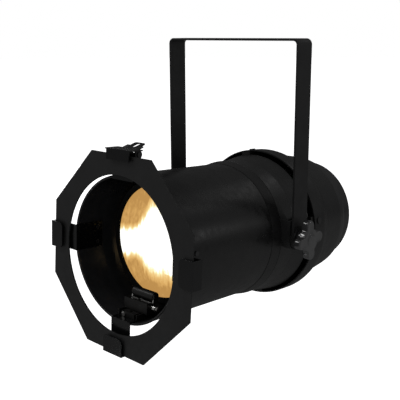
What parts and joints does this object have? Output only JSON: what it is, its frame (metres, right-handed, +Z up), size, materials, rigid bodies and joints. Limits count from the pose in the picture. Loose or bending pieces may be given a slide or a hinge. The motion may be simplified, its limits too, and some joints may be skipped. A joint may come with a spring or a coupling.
{
  "type": "par can light",
  "caption": "Zooming stage par can: tubular black lamp barrel with an octagonal gel frame in clips, a lens on a sliding carriage and a vented rear cap, tilting in a flat bar yoke.",
  "frame": {"origin": "centre of the hanging hole, on the top face of the yoke strap", "axes": "+Z up along the hanging hole, the light looks along -Y, +X across to the light's left-hand knob"},
  "size_m": [0.2626, 0.4355, 0.3778],
  "materials": {
    "satin_black": "satin black powder coat on steel",
    "barrel_black": "semi-gloss black paint on steel sheet",
    "frame_black": "satin black paint on thin steel",
    "inner_black": "gloss black paint inside the barrel",
    "black_screws": "blackened steel",
    "zinc_steel": "zinc plated steel",
    "bright_metal": "bright nickel plate",
    "mirror_metal": "polished reflector",
    "bare_aluminium": "extruded and folded aluminium",
    "knob_plastic": "glossy moulded plastic",
    "black_plastic": "moulded black plastic",
    "white_plastic": "white moulded plastic",
    "rubber": "black fibre and rubber disc",
    "button_rubber": "soft grey keys",
    "circuit_board": "solder-masked board",
    "display_window": "tinted window",
    "phosphor": "warm white phosphor",
    "lens_glass": "clear lens, glowing warm white when lit"
  },
  "bodies": {
    "yoke": {"yoke": "satin_black", "yoke_washers": "black_plastic"},
    "can": {"side_bracket_left": "satin_black", "side_bracket_right": "satin_black", "tilt_studs": "zinc_steel", "friction_discs": "rubber", "front_barrel": "barrel_black", "mid_housing": "barrel_black", "rear_cap": "barrel_black", "chassis_plate": "inner_black", "cap_spacers": "inner_black", "cap_screws": "black_screws", "bulkhead": "inner_black", "heat_sink": "bare_aluminium", "led_board": "bare_aluminium", "led_emitter": "phosphor", "led_holder": "white_plastic", "reflector": "mirror_metal", "fan_frame": "black_plastic", "fan_screws": "zinc_steel", "driver_case": "bare_aluminium", "control_board": "circuit_board", "rear_panel": "satin_black", "panel_screws": "zinc_steel", "power_inlet": "black_plastic", "dmx_in": "black_plastic", "dmx_out": "black_plastic", "display": "display_window", "safety_eyelet": "zinc_steel", "clip_left": "satin_black", "clip_right": "satin_black", "clip_bottom": "satin_black", "clip_rivets": "black_screws", "latch_bracket": "satin_black", "latch_pin": "black_screws", "latch_spring": "zinc_steel", "zoom_rail": "inner_black", "rail_stop": "inner_black", "stop_screw": "bright_metal", "rail_screws": "black_screws"},
    "knob_left": {"knob_left": "knob_plastic"},
    "knob_right": {"knob_right": "knob_plastic"},
    "latch": {"latch_flap": "satin_black"},
    "gel_frame": {"frame_front_sheet": "frame_black", "frame_back_sheet": "frame_black", "frame_rivets": "black_screws"},
    "zoom_carriage": {"lens_carriage": "inner_black", "lens": "lens_glass", "lens_ring": "inner_black", "zoom_block": "inner_black", "handle_plate": "bright_metal", "zoom_handle": "inner_black"},
    "zoom_lock": {"zoom_screw": "bright_metal"},
    "fan": {"fan_rotor": "black_plastic"},
    "key_1": {"button_1": "button_rubber"},
    "key_2": {"button_2": "button_rubber"},
    "key_3": {"button_3": "button_rubber"},
    "key_4": {"button_4": "button_rubber"}
  },
  "joints": [
    {"name": "can_tilt", "type": "hinge", "parent": "yoke", "child": "can", "pos_m": [0, 0, -0.258], "axis": [1, 0, 0], "range_deg": [-45, 100]},
    {"name": "knob_right_turn", "type": "hinge", "parent": "can", "child": "knob_right", "pos_m": [0.12, 0, -0.258], "axis": [1, 0, 0], "range_deg": [0, 540]},
    {"name": "knob_left_turn", "type": "hinge", "parent": "can", "child": "knob_left", "pos_m": [-0.12, 0, -0.258], "axis": [-1, 0, 0], "range_deg": [0, 540]},
    {"name": "latch_open", "type": "hinge", "parent": "can", "child": "latch", "pos_m": [0, -0.20179, -0.13051], "axis": [-1, 0, 0], "range_deg": [0, 95], "stiffness_Nm_per_rad": 0.03, "springref_deg": -17.19},
    {"name": "gel_frame_lift", "type": "slide", "parent": "can", "child": "gel_frame", "axis": [0, 0.0802, 0.9968], "range_m": [0, 0.004]},
    {"name": "zoom_slide", "type": "slide", "parent": "can", "child": "zoom_carriage", "axis": [0, 0.9982, -0.0593], "range_m": [0, 0.045]},
    {"name": "zoom_lock_turn", "type": "hinge", "parent": "zoom_carriage", "child": "zoom_lock", "pos_m": [0.02, -0.18918, -0.32289], "axis": [1, 0, 0], "range_deg": [0, 360]},
    {"name": "fan_spin", "type": "hinge", "parent": "can", "child": "fan", "pos_m": [0, 0.0327, -0.26395], "axis": [0, -0.9982, 0.0593], "continuous": true},
    {"name": "key_1_press", "type": "slide", "parent": "can", "child": "key_1", "axis": [0, -0.9982, 0.0593], "range_m": [0, 0.0015], "stiffness_N_per_m": 300},
    {"name": "key_2_press", "type": "slide", "parent": "can", "child": "key_2", "axis": [0, -0.9982, 0.0593], "range_m": [0, 0.0015], "stiffness_N_per_m": 300},
    {"name": "key_3_press", "type": "slide", "parent": "can", "child": "key_3", "axis": [0, -0.9982, 0.0593], "range_m": [0, 0.0015], "stiffness_N_per_m": 300},
    {"name": "key_4_press", "type": "slide", "parent": "can", "child": "key_4", "axis": [0, -0.9982, 0.0593], "range_m": [0, 0.0015], "stiffness_N_per_m": 300}
  ]
}
